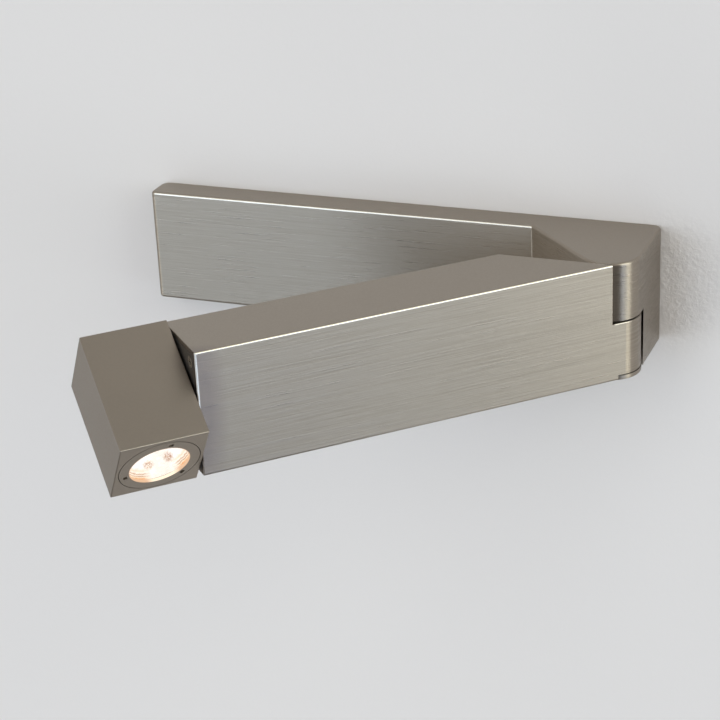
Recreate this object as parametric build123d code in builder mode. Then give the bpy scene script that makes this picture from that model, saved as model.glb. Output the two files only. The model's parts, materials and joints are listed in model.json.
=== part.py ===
"""Folding bedside reading lamp for a wall.

A shallow base, a long arm that swings out on an upright hinge at the base's right end,
and a square head that turns about the arm's length. Millimetres. +X runs along the wall,
+Y into the wall and +Z up. The origin is midway between the bracket's two wall slots, on
the wall's face. The lamp is drawn with the arm swung out and the head turned up.
"""
import os
from math import cos, radians, sin, sqrt, tan

from build123d import *

os.makedirs("parts", exist_ok=True)

# ---------------------------------------------------------------- pose as drawn
ARM_SWING = 45.0  # degrees the arm stands out from the wall
HEAD_TURN = 54.3  # degrees the lens is turned up from straight down

# ---------------------------------------------------------------- outer shape
BODY_H = 65.0  # height of base, arm and head
ARM_D = 44.0  # front to back of arm and head
ARM_L = 234.0  # hinge axis to the arm's end
HEAD_L = 44.0  # head along the arm
HEAD_GAP = 1.0  # between arm and head
PLATE_T = 18.5  # flat part of the base, off the wall
FOLD_GAP = 0.4  # between base and folded arm
KNUCKLE_R = 16.0  # nose of the base and lower knuckle of the arm
CORNER_R = 3.0  # upright corner of the base's flat end
BACK_CORNER_R = 5.0  # upright corners of the base at the wall
BASE_EDGE_R = 1.5  # long edges of the base
ARM_EDGE_R = 1.0  # long edges of the arm
HEAD_EDGE_R = 0.5  # edges of the head
SMALL_R = 0.5  # rims of the knuckles and the arm's ends
VALLEY_R = 1.0  # where the base's ramp leaves its flat part
MOULD_R = 1.0  # upright corners of small moulded and pressed parts

# ---------------------------------------------------------------- walls and fits
BASE_WALL = 2.0
ARM_WALL = 2.0
HEAD_WALL = 2.0
RUN_FIT = 0.05  # radial, turning fits and screws in their holes
SEAT_FIT = 0.1  # round parts that are let into another
RUN_GAP = 0.1  # end gap between parts that turn on each other
KNUCKLE_GAP = 1.0  # between upper and lower knuckle
KNUCKLE_SPLIT = 0.6  # underside of the upper knuckle, above mid height
NOSE_CLEAR = 1.3  # arm's upper half round the base's nose
NOTCH_BLUNT = 1.2  # taken off the sharp upright edge of the arm's notch
RECESS_CLEAR = 1.2  # base's lower half round the arm's knuckle

# ---------------------------------------------------------------- upright hinge
HINGE_FLOOR = 5.0  # base's floor over the knuckle
HINGE_WEB = 8.0  # arm's web under its knuckle's top
HINGE_SHELL = 2.5  # base's wall round the recess
PIN_R = 5.0
PIN_BORE_R = 2.3
PIN_HEAD_R = 9.0
PIN_HEAD_T = 3.0
BUSH_T = 1.5  # wall of the plain bearings
WASHER_R = 10.4
SPRING_R = 9.0
SPRING_T = 1.2
NUT_R = 8.6  # across the corners of the lock nuts
NUT_T = 4.0
THREAD_OUT = 1.0  # thread past the lock nuts
STOP_R = 1.5
STOP_AT = 12.5  # stop pin from the hinge axis
STOP_SLOT_T = 3.0
STOP_REACH = 2.5  # stop pins into their slots
SWING_MOST = 120.0  # degrees the arm opens from folded
STOP_BEARING = 105.0  # direction of the base's stop pin, from +X
WELL_R = 12.0  # well for the nut, from below
CAP_T = 2.4
CAP_PROUD = 0.3  # cap past the knuckle's side
CAP_SEAT_R = 16.6  # rebate for the cap
CAP_SEAT_T = 2.8
CAP_SPIGOT_H = 3.3
CAP_SPIGOT_WALL = 1.5
NECK_LAP = 3.0  # neck beyond the mitre's nearest point

# ---------------------------------------------------------------- leads
LEAD_R = 1.6  # round lead to the lamp
WIRE_R = 1.1  # single wires
CHANNEL_R = 1.8
CHANNEL_OFF = 0.3  # channel off the arm's front wall
BEND_SHARE = 0.45  # of the shorter run beside a bend that the bend takes up
LEAD_DROP = 9.8  # lead's straight drop out of the hinge pin
POCKET_L = 8.0
POCKET_LAP = 4.0
BASE_LEAD_IN = 9.0  # lead off the wall as it leaves the converter
BASE_LEAD_Z = 14.0
BASE_LEAD_FLAT_X = 38.0  # runs level to here
BASE_LEAD_CLIMB_X = 75.0  # and climbs over the cable's way in to here
BASE_LEAD_CLIMB_Z = 20.0
BASE_LEAD_BEND_X = 104.0  # turns out to the hinge here
BASE_LEAD_BEND_IN = 18.0
BASE_LEAD_TOP = 24.0  # over the hinge pin
WIRE_SWAY = 2.5  # slack of the short wires, off the straight
WIRE_END = 6.0  # straight ends of the short wires
ARM_LEAD_BEND = 24.0  # arm's lead leaves the channel's line here
CLIP_SIDE = 10.0  # lead in its clips, in front of the hinge axis
CLIP_RISE = 10.5  # and over the arm's underside
CLIP_SPOTS = (62.0, 122.0)
CLIP_L = 7.0
CLIP_LEAD_FROM = 44.0  # lead runs at the clips' line from here
CLIP_LEAD_TO = 156.0  # to here
SWIVEL_LEAD_FROM = 188.0  # and on the swivel axis from here
HEAD_LEAD_TURN = 8.5  # lead's upright run in the head, off the arm's side

# ---------------------------------------------------------------- arm's far end
END_PLATE_T = 3.0
END_PLATE_FIT = 0.1
BOSS = 9.5
BOSS_L = 14.0
END_SCREW_IN = 7.5  # screws from the arm's outer faces
SCREW_R = 1.5
SCREW_HEAD_R = 2.9
PAN_HEAD_T = 2.0
DRIVER_SCREW_L = 2.8
CROSS_DEEP = 0.7  # share of a countersunk head that its cross goes down
CROSS_W = 0.25  # width of a cross's arms, against the head's radius
PAN_CROSS = 1.3  # length of a pan head's cross, against its radius
PAN_ROUND = 0.4  # rounding of a pan head, against its height
END_SCREW_L = 12.0
SWIVEL_STOP_AT = 13.0
SWIVEL_SLOT_T = 2.4
SWIVEL_REACH = 2.0
TURN_MOST = 180.0  # degrees the head turns, lens down to lens up
SWIVEL_BUSH_FLANGE_T = 1.0
SWIVEL_FLANGE_R = 9.0
SWIVEL_FLANGE_T = 3.0

# ---------------------------------------------------------------- head and lamp
LENS_FLANGE_T = 8.5  # thick lens end of the head
LAMP_BORE_R = 18.2
RING_SEAT_R = 20.5
RING_R = 20.15
RING_T = 4.0
RING_LIP_T = 1.5
RING_OPEN_R = 15.0
RING_HOLD_R = 17.8
KEY_SLOTS = 3
KEY_AT = 17.3
KEY_W = 2.4
KEY_D = 2.0
KEY_DEEP = 1.0
KEY_BEARING = 42.0  # first key slot, from the arm's side
GLASS_R = 17.5
GLASS_T = 1.4
REFLECTOR_D = 20.0
REFLECTOR_WALL = 1.2
REFLECTOR_NECK_R = 6.0
REFLECTOR_MID_R = 14.35  # half way down its depth
HOLDER_LEAD_IN = 4.2  # lead's way in, from the holder's top
CAPSULE_R = 3.2
CAPSULE_L = 12.0
CAPSULE_TIP_R = 2.9
LAMP_BASE_X = 12.0
LAMP_BASE_Y = 9.0
LAMP_BASE_L = 10.0
LAMP_PIN_R = 0.5
LAMP_PIN_L = 6.0
LAMP_PIN_APART = 4.0
PIN_HOLE_FIT = 0.1
HOLDER_X = 12.0
HOLDER_Y = 14.0
HOLDER_L = 14.0
STRAP_T = 1.2
STRAP_X = 16.0
STRAP_Y = 36.0
POST_R = 3.0
POST_AT = 14.0
SMALL_SCREW_R = 1.25
SMALL_HEAD_R = 2.4
SMALL_HEAD_T = 1.6
SMALL_SCREW_L = 7.0

# ---------------------------------------------------------------- wall bracket
BRACKET_T = 1.5
BRACKET_FIT = 0.5  # at each end, inside the base
BRACKET_H = 54.0
SLOT_APART = 200.0
SLOT_L = 12.0
SLOT_W = 4.5
CABLE_HOLE_R = 8.0
CABLE_HOLE_X = 78.0
TAB_AT = 120.0  # tabs either side of the middle
TAB_W = 14.0
TAB_D = 12.0
TAB_SCREW_IN = 7.0  # tab screws off the wall
TAB_SCREW_L = 7.0

# ---------------------------------------------------------------- converter
DRIVER_L = 100.0
DRIVER_W = 34.0
DRIVER_D = 11.0
DRIVER_WALL = 1.2
DRIVER_X = -35.0  # its middle along the base
EAR_L = 7.0
EAR_W = 9.0
EAR_Z = 12.0
BOARD_T = 1.6
BOARD_LEDGE = 1.0
BOARD_FIT = 0.5
TRANSFORMER_L = 22.0
TRANSFORMER_W = 20.0
CHOKE_L = 14.0
CHOKE_W = 10.0
CAPACITOR_R = 4.0

# ---------------------------------------------------------------- terminals
TERMINAL_X = 48.0
TERMINAL_L = 16.0
TERMINAL_D = 10.0
TERMINAL_W = 24.0
POLE_APART = 8.0
POLE_HOLE_R = 1.4
POLE_SCREW_R = 1.8
POLE_SCREW_T = 3.0
POLE_SCREW_SUNK = 1.0
POLE_DEEP = 5.5  # wire holes off the bracket
EARTH_X = 30.0
EARTH_Z = -22.0
TAG_R = 3.5
TAG_T = 0.8
TAG_BARREL_L = 3.5
TAG_BARREL_R = 1.7
TAG_STRAIGHT = 3.0  # earth wire's straight end over its tag
TAG_HEAD_R = 3.0

# ---------------------------------------------------------------- worked out
HALF_H = BODY_H / 2
BASE_L = ARM_L + HEAD_GAP + HEAD_L + KNUCKLE_R
PIVOT_X = BASE_L / 2 - KNUCKLE_R
PIVOT_Y = -(PLATE_T + FOLD_GAP + ARM_D - KNUCKLE_R)
PIVOT = (PIVOT_X, PIVOT_Y)
ARM_BACK = ARM_D - KNUCKLE_R  # arm's back face behind the hinge axis
MITRE_OFF = KNUCKLE_R + FOLD_GAP  # mitre from the hinge axis
SPLIT_TOP = KNUCKLE_SPLIT
SPLIT_LOW = KNUCKLE_SPLIT - KNUCKLE_GAP
WEB_LOW = SPLIT_LOW - HINGE_WEB
SECTION_MID = KNUCKLE_R - ARM_D / 2  # middle of the arm's section, off the axis
BRACKET_FACE = -BRACKET_T
PIN_LOW = WEB_LOW - RUN_GAP - SPRING_T - NUT_T - THREAD_OUT
LEAD_LOW = PIN_LOW - LEAD_DROP
LEAD_FRONT = KNUCKLE_R - ARM_WALL - CHANNEL_R - CHANNEL_OFF  # lead's line from the well
PLATE_IN = ARM_L - END_PLATE_T
SWIVEL_LOW = PLATE_IN - SWIVEL_BUSH_FLANGE_T - RUN_GAP - SPRING_T - NUT_T - THREAD_OUT
LEAD_MEET = PLATE_IN  # arm's lead hands over to the head's here
CLIP_Z = -HALF_H + CLIP_RISE
DRIVER_RIGHT = DRIVER_X + DRIVER_L / 2

# Arm frame: x along the arm to the head, y out of its front face, z up.
arm_dir = Vector(-cos(radians(ARM_SWING)), -sin(radians(ARM_SWING)), 0)
arm_plane = Plane(origin=(PIVOT_X, PIVOT_Y, 0), x_dir=arm_dir, z_dir=(0, 0, 1))
front_dir = arm_plane.y_dir
up_dir = Vector(0, 0, 1)

# Head frame: x as the arm's, z from the lens to the closed end, on the swivel axis.
head_up = up_dir * cos(radians(HEAD_TURN)) - front_dir * sin(radians(HEAD_TURN))
head_origin = arm_plane.from_local_coords(Vector(ARM_L + HEAD_GAP, SECTION_MID, 0))
head_plane = Plane(origin=head_origin, x_dir=arm_dir, z_dir=head_up)
lens_plane = Plane(
    origin=head_plane.from_local_coords(Vector(HEAD_L / 2, 0, -HALF_H)),
    x_dir=-arm_dir,
    z_dir=head_up,
)


def across_arm(along, side=SECTION_MID, height=0.0):
    """Plane square to the arm, facing the head, with x up and y towards the front."""
    spot = arm_plane.from_local_coords(Vector(along, side, height))
    return Plane(origin=spot, x_dir=up_dir, z_dir=arm_dir)


def head_side(along):
    """Plane square to the swivel axis, facing away from the arm, in the head's turn."""
    spot = head_plane.from_local_coords(Vector(along, 0, 0))
    return Plane(origin=spot, x_dir=head_up, z_dir=arm_dir)


def bend_radii(points):
    """Largest bend that the two runs at each corner of a lead allow."""
    radii = []
    for before, corner, after in zip(points, points[1:], points[2:]):
        run_in = Vector(*corner) - Vector(*before)
        run_out = Vector(*after) - Vector(*corner)
        half_turn = radians(run_in.get_angle(run_out)) / 2
        radii.append(BEND_SHARE * min(run_in.length, run_out.length) / tan(half_turn))
    return radii


def base_plan(inset):
    """Base seen from above: flat part, ramp, half-round nose and right side."""
    ramp_foot = PIVOT_X + PIVOT_Y - KNUCKLE_R * sqrt(2) + PLATE_T
    tangent = KNUCKLE_R / sqrt(2)
    with BuildSketch() as plan:
        with BuildLine():
            Polyline(
                (PIVOT_X + KNUCKLE_R, PIVOT_Y),
                (BASE_L / 2, 0),
                (-BASE_L / 2, 0),
                (-BASE_L / 2, -PLATE_T),
                (ramp_foot, -PLATE_T),
                (PIVOT_X - tangent, PIVOT_Y - tangent),
            )
            CenterArc(PIVOT, KNUCKLE_R, 225, 135)
        make_face()
        fillet(plan.vertices().group_by(Axis.Y)[-1], BACK_CORNER_R)
        fillet(plan.vertices().sort_by_distance((-BASE_L / 2, -PLATE_T, 0))[0], CORNER_R)
        valley = plan.vertices().sort_by_distance((ramp_foot, -PLATE_T, 0))[0]
        fillet(valley, VALLEY_R)
        if inset:
            offset(amount=-inset, kind=Kind.INTERSECTION, mode=Mode.REPLACE)
    return plan.sketch


def mitre_at(side, inset=0.0):
    """Where the arm's mitre crosses a line along the arm."""
    return (MITRE_OFF + inset) * sqrt(2) - side


def countersunk_screw(shank_r, head_r, length):
    """Countersunk screw, head up, its face on the plane it is placed on."""
    cone = head_r - shank_r
    with BuildPart() as screw:
        with BuildSketch(Plane.XZ):
            with BuildLine():
                Polyline(
                    (0, 0), (head_r, 0), (shank_r, -cone), (shank_r, -length), (0, -length),
                    close=True,
                )
            make_face()
        revolve(axis=Axis.Z)
        with BuildSketch():
            Rectangle(head_r, head_r * CROSS_W)
            Rectangle(head_r * CROSS_W, head_r)
        extrude(amount=-cone * CROSS_DEEP, mode=Mode.SUBTRACT)
    return screw.part


def pan_screw(shank_r, head_r, head_t, length):
    """Pan head screw, standing on the plane it is placed on."""
    with BuildPart() as screw:
        with BuildSketch():
            Circle(head_r)
        extrude(amount=head_t)
        fillet(screw.edges().group_by(Axis.Z)[-1], head_t * PAN_ROUND)
        with BuildSketch():
            Circle(shank_r)
        extrude(amount=-length)
        with BuildSketch(Plane.XY.offset(head_t)):
            Rectangle(head_r * PAN_CROSS, head_r * CROSS_W)
            Rectangle(head_r * CROSS_W, head_r * PAN_CROSS)
        extrude(amount=-head_t / 2, mode=Mode.SUBTRACT)
    return screw.part


# ================================================================ wall base
bottom_plane = Plane.XY.offset(-HALF_H)
floor_top = SPLIT_TOP + HINGE_FLOOR
stop_spot = (
    PIVOT_X + STOP_AT * cos(radians(STOP_BEARING)),
    PIVOT_Y + STOP_AT * sin(radians(STOP_BEARING)),
)
open_l = BASE_L - 2 * BACK_CORNER_R - 2 * BASE_WALL  # opening at the wall

with BuildPart() as base_housing:
    with BuildSketch(bottom_plane):
        add(base_plan(0))
    extrude(amount=BODY_H)
    rims = base_housing.edges().filter_by(lambda e: abs(abs(e.center().Z) - HALF_H) < 0.01)
    fillet(rims.filter_by(lambda e: e.center().Y < -0.01), BASE_EDGE_R)
    # cavity, open to the wall, with a floor and a round wall left at the hinge
    with BuildSketch(Plane.XY.offset(-HALF_H + BASE_WALL)):
        add(base_plan(BASE_WALL))
        with Locations((0, -BASE_WALL)):
            Rectangle(open_l, 2 * BASE_WALL)
        with Locations(PIVOT):
            Circle(KNUCKLE_R + RECESS_CLEAR + HINGE_SHELL, mode=Mode.SUBTRACT)
    extrude(amount=HALF_H - BASE_WALL + floor_top, mode=Mode.SUBTRACT)
    with BuildSketch(Plane.XY.offset(floor_top)):
        add(base_plan(BASE_WALL))
        with Locations((0, -BASE_WALL)):
            Rectangle(open_l, 2 * BASE_WALL)
    extrude(amount=HALF_H - BASE_WALL - floor_top, mode=Mode.SUBTRACT)
    # recess for the arm's knuckle
    with BuildSketch(bottom_plane):
        with Locations(PIVOT):
            Circle(KNUCKLE_R + RECESS_CLEAR)
    extrude(amount=HALF_H + SPLIT_TOP, mode=Mode.SUBTRACT)
    # hinge pin and stop pin through the floor
    with BuildSketch(Plane.XY.offset(SPLIT_TOP)):
        with Locations(PIVOT):
            Circle(PIN_R + RUN_FIT)
        with Locations(stop_spot):
            Circle(STOP_R + RUN_FIT)
    extrude(amount=HINGE_FLOOR, mode=Mode.SUBTRACT)
    # countersunk holes in the underside
    for side in (-1, 1):
        with Locations(Plane(origin=(side * TAB_AT, -TAB_SCREW_IN, -HALF_H), z_dir=(0, 0, -1))):
            CounterSinkHole(SCREW_R + RUN_FIT, SCREW_HEAD_R + RUN_FIT, depth=BASE_WALL)

with BuildPart() as wall_bracket:
    with BuildSketch(Plane.XZ):
        RectangleRounded(open_l - 2 * BRACKET_FIT, BRACKET_H, CORNER_R)
    extrude(amount=BRACKET_T)
    tab_rise = HALF_H - BASE_WALL
    for side in (-1, 1):
        for level in (-1, 1):
            with BuildSketch(Plane.XZ):
                with Locations((side * TAB_AT, level * (tab_rise + BRACKET_H / 2 - CORNER_R) / 2)):
                    Rectangle(TAB_W, tab_rise - BRACKET_H / 2 + CORNER_R)
            extrude(amount=BRACKET_T)
            with BuildSketch(Plane.XZ):
                with Locations((side * TAB_AT, level * (tab_rise - BRACKET_T / 2))):
                    Rectangle(TAB_W, BRACKET_T)
            extrude(amount=TAB_D)
    with BuildSketch(Plane.XZ):
        with Locations((-SLOT_APART / 2, 0), (SLOT_APART / 2, 0)):
            SlotOverall(SLOT_L, SLOT_W)
        with Locations((CABLE_HOLE_X, 0)):
            Circle(CABLE_HOLE_R)
        with Locations(
            (DRIVER_RIGHT + EAR_L / 2, -EAR_Z),
            (DRIVER_RIGHT - DRIVER_L - EAR_L / 2, EAR_Z),
            (EARTH_X, EARTH_Z),
        ):
            Circle(SCREW_R + RUN_FIT)
    extrude(amount=BRACKET_T, mode=Mode.SUBTRACT)
    with BuildSketch(Plane.XY.offset(-tab_rise)):
        with Locations((-TAB_AT, -TAB_SCREW_IN), (TAB_AT, -TAB_SCREW_IN)):
            Circle(SCREW_R + RUN_FIT)
    extrude(amount=BRACKET_T, mode=Mode.SUBTRACT)

with BuildPart() as bracket_screws:
    for side in (-1, 1):
        with Locations(Plane(origin=(side * TAB_AT, -TAB_SCREW_IN, -HALF_H), z_dir=(0, 0, -1))):
            add(countersunk_screw(SCREW_R, SCREW_HEAD_R, TAB_SCREW_L))

# ---------------------------------------------------------------- converter
bracket_front = Plane(origin=(0, BRACKET_FACE, 0), x_dir=(1, 0, 0), z_dir=(0, -1, 0))
driver_open = DRIVER_D - DRIVER_WALL
board_in = DRIVER_WALL + BOARD_LEDGE
ear_spots = (
    (DRIVER_RIGHT + EAR_L / 2, -EAR_Z),
    (DRIVER_RIGHT - DRIVER_L - EAR_L / 2, EAR_Z),
)

with BuildPart() as driver_case:
    with BuildSketch(bracket_front):
        with Locations((DRIVER_X, 0)):
            Rectangle(DRIVER_L, DRIVER_W)
    extrude(amount=driver_open)
    with BuildSketch(bracket_front.offset(DRIVER_WALL)):
        with Locations((DRIVER_X, 0)):
            Rectangle(DRIVER_L - 2 * DRIVER_WALL, DRIVER_W - 2 * DRIVER_WALL)
    extrude(amount=driver_open - DRIVER_WALL, mode=Mode.SUBTRACT)
    with BuildSketch(bracket_front.offset(DRIVER_WALL)):
        for side in (-1, 1):
            with Locations((DRIVER_X, side * (DRIVER_W / 2 - 2 * DRIVER_WALL))):
                Rectangle(DRIVER_L - 2 * DRIVER_WALL, 2 * DRIVER_WALL)
    extrude(amount=BOARD_LEDGE)
    with BuildSketch(bracket_front):
        with Locations(*ear_spots):
            Rectangle(EAR_L, EAR_W)
    extrude(amount=BRACKET_T)
    with BuildSketch(bracket_front):
        with Locations(*ear_spots):
            Circle(SCREW_R + RUN_FIT)
    extrude(amount=BRACKET_T, mode=Mode.SUBTRACT)

with BuildPart() as driver_cover:
    with BuildSketch(bracket_front.offset(driver_open)):
        with Locations((DRIVER_X, 0)):
            RectangleRounded(DRIVER_L, DRIVER_W, DRIVER_WALL)
    extrude(amount=DRIVER_WALL)

with BuildPart() as driver_board:
    with BuildSketch(bracket_front.offset(board_in)):
        with Locations((DRIVER_X, 0)):
            Rectangle(
                DRIVER_L - 2 * (DRIVER_WALL + BOARD_FIT), DRIVER_W - 2 * (DRIVER_WALL + BOARD_FIT)
            )
    extrude(amount=BOARD_T)

board_face = board_in + BOARD_T
with BuildPart() as driver_components:
    # transformer, choke and two capacitors
    with BuildSketch(bracket_front.offset(board_face)):
        with Locations((DRIVER_X + DRIVER_L / 8, 0)):
            RectangleRounded(TRANSFORMER_L, TRANSFORMER_W, MOULD_R)
        with Locations((DRIVER_X - DRIVER_L / 6, DRIVER_W / 8)):
            RectangleRounded(CHOKE_L, CHOKE_W, MOULD_R)
        with Locations(
            (DRIVER_X - DRIVER_L / 3, -DRIVER_W / 6), (DRIVER_X + DRIVER_L / 3, DRIVER_W / 6)
        ):
            Circle(CAPACITOR_R)
    extrude(amount=driver_open - board_face - DRIVER_WALL)

with BuildPart() as driver_screws:
    ear_face = bracket_front.offset(BRACKET_T)
    for across, height in ear_spots:
        seat = Plane(
            origin=ear_face.from_local_coords(Vector(across, height, 0)),
            x_dir=(1, 0, 0),
            z_dir=(0, -1, 0),
        )
        with Locations(seat):
            add(pan_screw(SCREW_R, SCREW_HEAD_R, PAN_HEAD_T, DRIVER_SCREW_L))

# ---------------------------------------------------------------- terminals
poles = (POLE_APART, 0.0, -POLE_APART)
terminal_left = TERMINAL_X - TERMINAL_L / 2
pole_y = BRACKET_FACE - POLE_DEEP

with BuildPart() as terminal_block:
    with BuildSketch(bracket_front):
        with Locations((TERMINAL_X, 0)):
            RectangleRounded(TERMINAL_L, TERMINAL_W, MOULD_R)
    extrude(amount=TERMINAL_D)
    with BuildSketch(Plane(origin=(terminal_left, pole_y, 0), x_dir=(0, 1, 0), z_dir=(1, 0, 0))):
        with Locations(*[(0, pole) for pole in poles]):
            Circle(POLE_HOLE_R)
    extrude(amount=TERMINAL_L, mode=Mode.SUBTRACT)
    with BuildSketch(bracket_front.offset(TERMINAL_D)):
        with Locations(*[(TERMINAL_X, pole) for pole in poles]):
            Circle(POLE_SCREW_R + RUN_FIT)
    extrude(amount=-POLE_SCREW_SUNK - POLE_SCREW_T, mode=Mode.SUBTRACT)

with BuildPart() as terminal_screws:
    with BuildSketch(bracket_front.offset(TERMINAL_D - POLE_SCREW_SUNK - POLE_SCREW_T)):
        with Locations(*[(TERMINAL_X, pole) for pole in poles]):
            Circle(POLE_SCREW_R)
    extrude(amount=POLE_SCREW_T)
    with BuildSketch(bracket_front.offset(TERMINAL_D - POLE_SCREW_SUNK)):
        with Locations(*[(TERMINAL_X, pole) for pole in poles]):
            Rectangle(2 * POLE_SCREW_R, POLE_SCREW_R / 3)
    extrude(amount=-POLE_SCREW_T / 3, mode=Mode.SUBTRACT)

barrel_y = BRACKET_FACE - TAG_BARREL_R
barrel_low = EARTH_Z + TAG_R
barrel_top = barrel_low + TAG_BARREL_L

with BuildPart() as earth_tag:
    with BuildSketch(bracket_front):
        with Locations((EARTH_X, EARTH_Z)):
            Circle(TAG_R)
        with Locations((EARTH_X, EARTH_Z + TAG_R)):
            Rectangle(TAG_BARREL_R, TAG_R)
        with Locations((EARTH_X, EARTH_Z)):
            Circle(SCREW_R + RUN_FIT, mode=Mode.SUBTRACT)
    extrude(amount=TAG_T)
    with BuildSketch(Plane.XY.offset(barrel_low)):
        with Locations((EARTH_X, barrel_y)):
            Circle(TAG_BARREL_R)
    extrude(amount=TAG_BARREL_L)

with BuildPart() as earth_screw:
    tag_face = Plane(
        origin=(EARTH_X, BRACKET_FACE - TAG_T, EARTH_Z), x_dir=(1, 0, 0), z_dir=(0, -1, 0)
    )
    with Locations(tag_face):
        add(pan_screw(SCREW_R, TAG_HEAD_R, SCREW_R, BRACKET_T))

# ---------------------------------------------------------------- wires in the base
wire_mid = (terminal_left + DRIVER_RIGHT) / 2

with BuildPart() as live_lead:
    live_points = [
        (DRIVER_RIGHT, pole_y, POLE_APART),
        (DRIVER_RIGHT + WIRE_END, pole_y, POLE_APART),
        (wire_mid, pole_y - WIRE_SWAY, POLE_APART),
        (terminal_left - WIRE_END, pole_y, POLE_APART),
        (terminal_left, pole_y, POLE_APART),
    ]
    with BuildLine() as live_path:
        FilletPolyline(*live_points, radius=bend_radii(live_points))
    with BuildSketch(Plane(origin=live_path.line @ 0, z_dir=live_path.line % 0)):
        Circle(WIRE_R)
    sweep()

with BuildPart() as neutral_lead:
    neutral_points = [
        (DRIVER_RIGHT, pole_y, 0),
        (DRIVER_RIGHT + WIRE_END, pole_y, 0),
        (wire_mid, pole_y - WIRE_SWAY, -1),
        (terminal_left - WIRE_END, pole_y, 0),
        (terminal_left, pole_y, 0),
    ]
    with BuildLine() as neutral_path:
        FilletPolyline(*neutral_points, radius=bend_radii(neutral_points))
    with BuildSketch(Plane(origin=neutral_path.line @ 0, z_dir=neutral_path.line % 0)):
        Circle(WIRE_R)
    sweep()

with BuildPart() as earth_lead:
    earth_points = [
        (terminal_left, pole_y, -POLE_APART),
        (EARTH_X, pole_y, -POLE_APART),
        (EARTH_X, barrel_y, barrel_top + TAG_STRAIGHT),
        (EARTH_X, barrel_y, barrel_top),
    ]
    with BuildLine() as earth_path:
        FilletPolyline(*earth_points, radius=bend_radii(earth_points))
    with BuildSketch(Plane(origin=earth_path.line @ 0, z_dir=earth_path.line % 0)):
        Circle(WIRE_R)
    sweep()

with BuildPart() as base_lead:
    base_points = [
        (DRIVER_RIGHT, -BASE_LEAD_IN, BASE_LEAD_Z),
        (BASE_LEAD_FLAT_X, -BASE_LEAD_IN, BASE_LEAD_Z),
        (BASE_LEAD_CLIMB_X, -BASE_LEAD_IN, BASE_LEAD_CLIMB_Z),
        (BASE_LEAD_BEND_X, -BASE_LEAD_BEND_IN, BASE_LEAD_TOP),
        (PIVOT_X, PIVOT_Y, BASE_LEAD_TOP),
        (PIVOT_X, PIVOT_Y, PIN_LOW),
    ]
    with BuildLine() as base_path:
        FilletPolyline(*base_points, radius=bend_radii(base_points))
    with BuildSketch(Plane(origin=base_path.line @ 0, z_dir=base_path.line % 0)):
        Circle(LEAD_R)
    sweep()

# ---------------------------------------------------------------- hinge, on the base
with BuildPart() as hinge_pin:
    with BuildSketch(Plane.XY.offset(floor_top)):
        with Locations(PIVOT):
            RegularPolygon(PIN_HEAD_R, 6)
    extrude(amount=PIN_HEAD_T)
    with BuildSketch(Plane.XY.offset(PIN_LOW)):
        with Locations(PIVOT):
            Circle(PIN_R)
    extrude(amount=floor_top - PIN_LOW)
    with BuildSketch(Plane.XY.offset(PIN_LOW)):
        with Locations(PIVOT):
            Circle(PIN_BORE_R)
    extrude(amount=floor_top + PIN_HEAD_T - PIN_LOW, mode=Mode.SUBTRACT)

with BuildPart() as hinge_stop_pin:
    with BuildSketch(Plane.XY.offset(floor_top)):
        with Locations(stop_spot):
            Circle(STOP_R)
    extrude(amount=-(floor_top - SPLIT_LOW + STOP_REACH))

with BuildPart() as hinge_spring_washer:
    with BuildSketch(Plane.XY.offset(WEB_LOW - RUN_GAP)):
        with Locations(PIVOT):
            Circle(SPRING_R)
            Circle(PIN_R + RUN_FIT, mode=Mode.SUBTRACT)
    extrude(amount=-SPRING_T)

with BuildPart() as hinge_lock_nut:
    with BuildSketch(Plane.XY.offset(WEB_LOW - RUN_GAP - SPRING_T)):
        with Locations(PIVOT):
            RegularPolygon(NUT_R, 6)
            Circle(PIN_R + RUN_FIT, mode=Mode.SUBTRACT)
    extrude(amount=-NUT_T)

# ================================================================ arm
front = KNUCKLE_R
neck_lap = NECK_LAP / sqrt(2)
mitre_foot = MITRE_OFF / sqrt(2)
cap_roof = -HALF_H + CAP_SEAT_T
inner_front = KNUCKLE_R - ARM_WALL
inner_back = -ARM_BACK + ARM_WALL
inner_h = BODY_H - 2 * ARM_WALL
screw_rows = [
    (level * (HALF_H - END_SCREW_IN), side * (ARM_D / 2 - END_SCREW_IN))
    for level in (-1, 1)
    for side in (-1, 1)
]
boss_rows = [
    (level * (inner_h - BOSS) / 2, side * (ARM_D - 2 * ARM_WALL - BOSS) / 2)
    for level in (-1, 1)
    for side in (-1, 1)
]

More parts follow.
